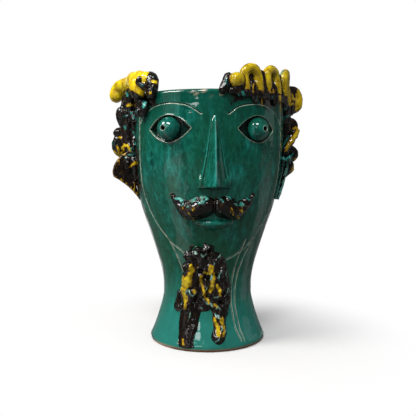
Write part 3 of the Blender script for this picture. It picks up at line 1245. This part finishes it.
left_strokes = {
    "black": [
        [(-68, 309.6, 1.3), (-69, 305.3, 1.7), (-72.5, 301.6, 1.7), (-73.6, 298, 1.5), (-69.3, 296.3, 2.0),
         (-66.6, 292.6, 1.7), (-67.7, 287.8, 1.5)],
        [(-57.5, 300.6, 4.4), (-59.6, 294.2, 4.4), (-62.4, 289, 3.9), (-65, 283.6, 3.3)],
        [(-60, 309, 2.0), (-56, 304, 3.0)],
        [(-89.8, 290, 3.4), (-83.1, 285, 3.8), (-76.4, 281.1, 3.4), (-68.8, 278.6, 2.4)],
    ],
    "yellow": [
        [(-64.4, 304, 1.5), (-60.7, 302.4, 1.8)],
        [(-68.3, 289.9, 0.9), (-67.2, 291, 0.9)],
        [(-103.7, 238.2, 1.1), (-102.7, 237.6, 1.2)],
        [(-94.2, 275.1, 1.7), (-91, 276.6, 2.0), (-88.8, 276.1, 0.9)],
        [(-105.2, 204.8, 0.5), (-105.4, 209.6, 1.5), (-104.8, 212.9, 2.4), (-102.9, 216.1, 1.5),
         (-99.1, 219.3, 0.7)],
        [(-104.8, 212.9, 2.0), (-107.7, 217.2, 1.3), (-110.9, 222, 0.7)],
        [(-105.6, 214, 1.3), (-109.9, 214.5, 1.1), (-113.1, 217.2, 0.7)],
        [(-104.5, 215, 1.5), (-105.5, 221.5, 1.3), (-107.1, 228, 0.7)],
        [(-104, 215, 1.1), (-101.8, 220.4, 1.1), (-100.6, 222.6, 0.9)],
        [(-100.1, 222, 1.1), (-100.6, 226.3, 1.5), (-97.9, 229, 1.7), (-94.6, 228.2, 1.5), (-92.3, 224.7, 1.1),
         (-91.2, 221.5, 0.6)],
        [(-92.7, 202.1, 0.6), (-89.4, 205.9, 1.1), (-86.7, 208, 1.1), (-84, 206.4, 0.9), (-80.2, 204.8, 0.8)],
    ],
    "teal": [
        [(-95.8, 290, 1.5), (-94.1, 287, 1.2)],
        [(-72.2, 279.5, 1.4), (-74.7, 277.8, 2.1), (-75.6, 273.6, 1.7)],
        [(-85, 268.6, 1.4), (-85.8, 264.4, 1.5), (-87.6, 260.2, 1.0)],
        [(-97.8, 250.9, 1.2), (-97, 247.6, 0.9)],
        [(-87.7, 244.2, 1.2), (-85.2, 240, 1.4), (-84.4, 234.1, 1.2), (-86.1, 229.9, 0.9)],
        [(-95.6, 218.9, 0.9), (-91.4, 217.2, 1.0), (-86.3, 218, 0.9)],
        [(-90.7, 198.5, 0.9), (-89, 194.3, 0.9)], [(-79.4, 219.7, 0.9), (-78.6, 213, 0.9)],
    ],
}
hair_piece("hair_left_mass", left_yellow, left_black, left_strokes,
           ("hair_left_bed", "hair_left_roll", "hair_left_roll_end", "hair_left_front_curl", "hair_left_strand",
            "hair_left_curl_1", "hair_left_curl_2", "hair_left_curl_3"), seed=101, crease=3.5)

# %% [markdown]
# ## Hair on the right
# A ball-ended roll and three loops stand on the rim, and curls go down the side. Each loop is the
# same horseshoe in another size, so one function gives its path, and the dark clay that was pushed
# in between its legs.

# %% Hair on the right
def loop_paths(middle, half, height, stand):
    """A horseshoe that stands on the rim with its legs down over the lip, and the dark clay between
    its legs and below"""
    c = 4.6  # the roll's radius
    degrees = 180 / math.pi / float(wall(RIM))

    def at(length, up, out, radius):
        return (middle + length * degrees, RIM + up, out, radius)

    top = height - c - 0.4 - half
    ring = [at(-0.85 * half, -0.1 * height, 2.4, 0.75 * c), at(-half, 0.25 * height, stand / 2 + 0.5, c)]
    for a in np.radians(np.arange(180, -1, -20)):
        ring.append(at(half * math.cos(a), top + half * math.sin(a), stand, c))
    ring += [at(half, 0.25 * height, stand / 2 + 0.5, c), at(1.08 * half, -0.2 * height, 2.4, 0.62 * c)]
    foot = [at(0, 0.3 * height, stand - 0.5, 0.85 * c), at(0, 0.03 * height, 0.8, c),
            at(0.3 * half, -0.36 * height, 0.8, 0.75 * c)]
    behind = [at(0, height - 2.6 * c, stand - 3, 3.0), at(0, 4, stand - 3, 3.8)]
    return [wall_path(ring)], [wall_path(foot), wall_path(behind)]


# azimuth of each loop's middle, half its width, its height, its stand, and the height of its hole
LOOPS = np.array([(26.3, 9.1, 28.2, -2, 296), (47.0, 9.6, 30, -2, 297.5), (70.5, 9.4, 31.5, 1.5, 299)])
right_yellow, right_black = [], []
for *loop, _ in LOOPS:
    bright, dark = loop_paths(*loop)
    right_yellow.append(bright)
    right_black += dark
right_yellow.append([wall_path([(13.6, 290.8, 2, 7.4), (14.8, 291, 1.5, 7.4)])])
right_black += [
    curl_path(90, 281, 12.5, 9.5, 14, 5.6, 150, -160, 80, 0.6),
    wall_path([(37, 279, 0, 4.2), (36.5, 290, -3, 4.4), (36.5, 301, -4, 3.6)]),
    wall_path([(58.5, 279, 1, 4.2), (58.5, 290, -2, 4.6), (58.5, 301, -3, 3.8)]),
    wall_path([(15, 283, 1, 4.2), (18, 286, 0, 4.4), (19, 295, -3, 3.8)]),
    wall_path([(80, 192, 4, 3.4), (84, 198, 9, 3.4), (88, 206, 13, 3.0)]),
    wall_path([(78, 206, 3, 3.4), (82, 212, 7, 3.6), (86, 214, 11, 3.0)]),
    wall_path([(89, 292, 7, 4.0), (89, 281, 12, 4.8), (88, 269, 9, 4.6)]),
    wall_path([(86, 292, 3, 5.0), (86, 281, 6, 5.6), (86, 268, 6, 5.6)]),
    curl_path(88, 250, 10, 7, 7, 5.3, 200, -150, 70, 0.6),
    curl_path(88, 219, 9, 7.5, 5.5, 4.8, 180, -120, 75),
    curl_path(90, 202.5, 9, 6, 5.5, 5.0, 150, -140, 70, 0.7),
    wall_path([(84, 272, 2, 5.9), (86, 252, 2.9, 6.6), (87, 222, 2.9, 6.3), (88, 201, 2.6, 5.2)]),
    wall_path([(11, 280, 0, 3.8), (22, 278, 0.5, 4.0), (36, 278, 0.3, 3.8), (50, 277.5, 0.5, 4.0),
               (64, 278, 0.5, 4.2), (78, 276, 0.5, 4.6)]),
    wall_path([(5.5, 280, 1, 4.2), (7.5, 287, -1, 5.4), (9, 293, -1, 4.8)]),
    wall_path([(76, 281, 2, 4.6), (79, 268, 2, 4.6), (80, 256, 1, 3.4)]),
    wall_path([(88, 246, 18, 2.8), (82, 237, 12.5, 3.4), (77, 222, 3, 3.4)]),
]
right_strokes = {
    "black": [
        [(54.6, 306, 0.5), (54.3, 302, 1.2), (55, 297.3, 2.4), (55.7, 291, 3.2)],
        [(77.9, 304, 0.5), (77.3, 299.9, 1.3), (77.4, 294, 2.4)],
    ],
    "yellow": [
        [(54.5, 300, 0.5), (54, 295, 0.9), (54.6, 291, 0.5)],
        [(67.3, 283, 1.5), (67.5, 278, 0.9)],
        [(78.2, 294, 0.6), (78.4, 291, 1.0)],
        [(85.8, 286, 1.6), (86.3, 278, 1.2)],
        [(95.1, 292, 3.0), (97.2, 284.3, 1.6), (97.6, 276, 0.9)],
        [(100.4, 288.9, 1.0), (101.1, 283, 1.0)], [(99.2, 277.2, 1.3), (101.8, 277.8, 1.1)],
        [(109, 292, 3.4), (111.5, 286, 7.2), (110.5, 278, 7.0), (107, 271, 3.2)],
        [(104.9, 284, 0.9), (101.6, 282.3, 0.8)],
        [(109.5, 250, 1.8), (106.9, 243.5, 2.5), (101.5, 235.6, 2.4), (95.6, 228, 1.7), (93.7, 222.5, 1.3)],
        [(102.6, 248.7, 1.2), (106.6, 250, 1.0)],
        [(104.8, 212, 1.3), (103.9, 204, 1.8), (100.5, 197.4, 1.3)],
    ],
    "teal": [
        [(90, 256.6, 0.8), (92, 261.8, 1.1), (97.2, 263.7, 0.8)],
        [(89, 223.8, 0.9), (92.3, 231.7, 0.9), (96.8, 239.5, 1.1)],
        [(88.5, 209.3, 1.1), (92.4, 211.9, 1.1), (97.7, 215.2, 1.2), (102.3, 219.2, 0.9)],
        [(84.6, 196.1, 1.1), (87.9, 201.4, 1.2), (91.2, 205.3, 1.1)],
        [(41.8, 291.1, 1.9), (43.1, 286.5, 1.3)], [(37.2, 289.1, 1.1), (37.9, 285.2, 0.8)],
        [(90.2, 315.7, 0.8), (86.9, 313.1, 0.9), (85, 310.5, 0.7)],
        [(22.3, 302.1, 0.8), (22.3, 307.3, 0.8)],
    ],
}
hair_piece("hair_right_mass", right_yellow, right_black, right_strokes,
           ("hair_right_loop_1", "hair_right_loop_2", "hair_right_loop_3", "hair_right_curl_1",
            "hair_right_curl_2", "hair_right_curl_3", "hair_right_curl_4", "hair_right_end", "hair_right_strand",
            "hair_right_bar"), seed=131, lump=0.6, ridge=0.25, melt=2, ochre=0.75, fade=(290.0, 270.0),
           rings=seen_from_front(on_wall(LOOPS[:, 0], LOOPS[:, 4])))

# %% [markdown]
# ## Ears
# The left ear is a slab pulled to a wing, and the right ear a strip folded to a channel. A bevel
# would leave flat, even edges on their solids, so a voxel skin is smoothed until its corners look
# rubbed with a wet finger, and then kneaded.

# %% Ears
def rubbed_ear(name, node, voxel, melt, lump, seed):
    """An ear's solid with its edges rubbed round, and soft finger lumps and tool ridges kneaded in"""
    holder = bpy.data.objects.new(name + "_solid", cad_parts[node].data.copy())
    bpy.context.collection.objects.link(holder)
    holder.modifiers.new("weld", "WELD").merge_threshold = 0.02 * MM
    mesh = melted(holder, name, voxel, melt)
    points = mesh_points(mesh)
    fingers = grain(points, 9, seed) * lump
    ridges = (1 - np.abs(grain(points / [1, 1, 1.6], 5.5, seed + 1, 2)) * 3.0) * 0.3
    move_points(mesh, points + mesh_normals(mesh) * (fingers + ridges)[:, None])
    print(name, "points:", len(points))
    return mesh


wing = rubbed_ear("wing_ear", "ear_left", 0.7, 10, 0.45, 151)
points = mesh_points(wing)
rim_line = ease(0.03, 0.12, crests(wing, 10))
glaze_marks(wing, yellow=-3.4 + 3.0 * rim_line + 1.1 * grain(points / [1, 1, 3], 5, 7), ochre=1.0)
finish_piece("wing_ear", wing, BLACK, ("ear_left",))

# the channel's top is torn down unevenly, and its inner edge is turquoise where the black stops
channel = rubbed_ear("channel_ear", "ear_right", 0.55, 5, 0.4, 161)
points = mesh_points(channel)
points[:, 2] -= 9 * ease(204, 219, points[:, 2]) * (0.5 + grain(points * [1, 1, 0.3], 6, 10))
move_points(channel, points)
raised = crests(channel, 10)
rim_line = ease(0.03, 0.12, raised)
top = ease(198, 208, points[:, 2])
inner = ease(73, 78, wall_place(points)[0])
black = 5 + 6 * grain(points / [1, 1, 4], 5, 9) - 9 * rim_line * (0.35 + 0.65 * inner) + 6 * top
glaze_marks(channel, black=black, crest=np.clip(raised * 7, 0, 1.2) * (0.3 + 0.7 * inner),
            pale=0.25 * rim_line * inner * (1 - top))
finish_piece("channel_ear", channel, GREEN, ("ear_right",))
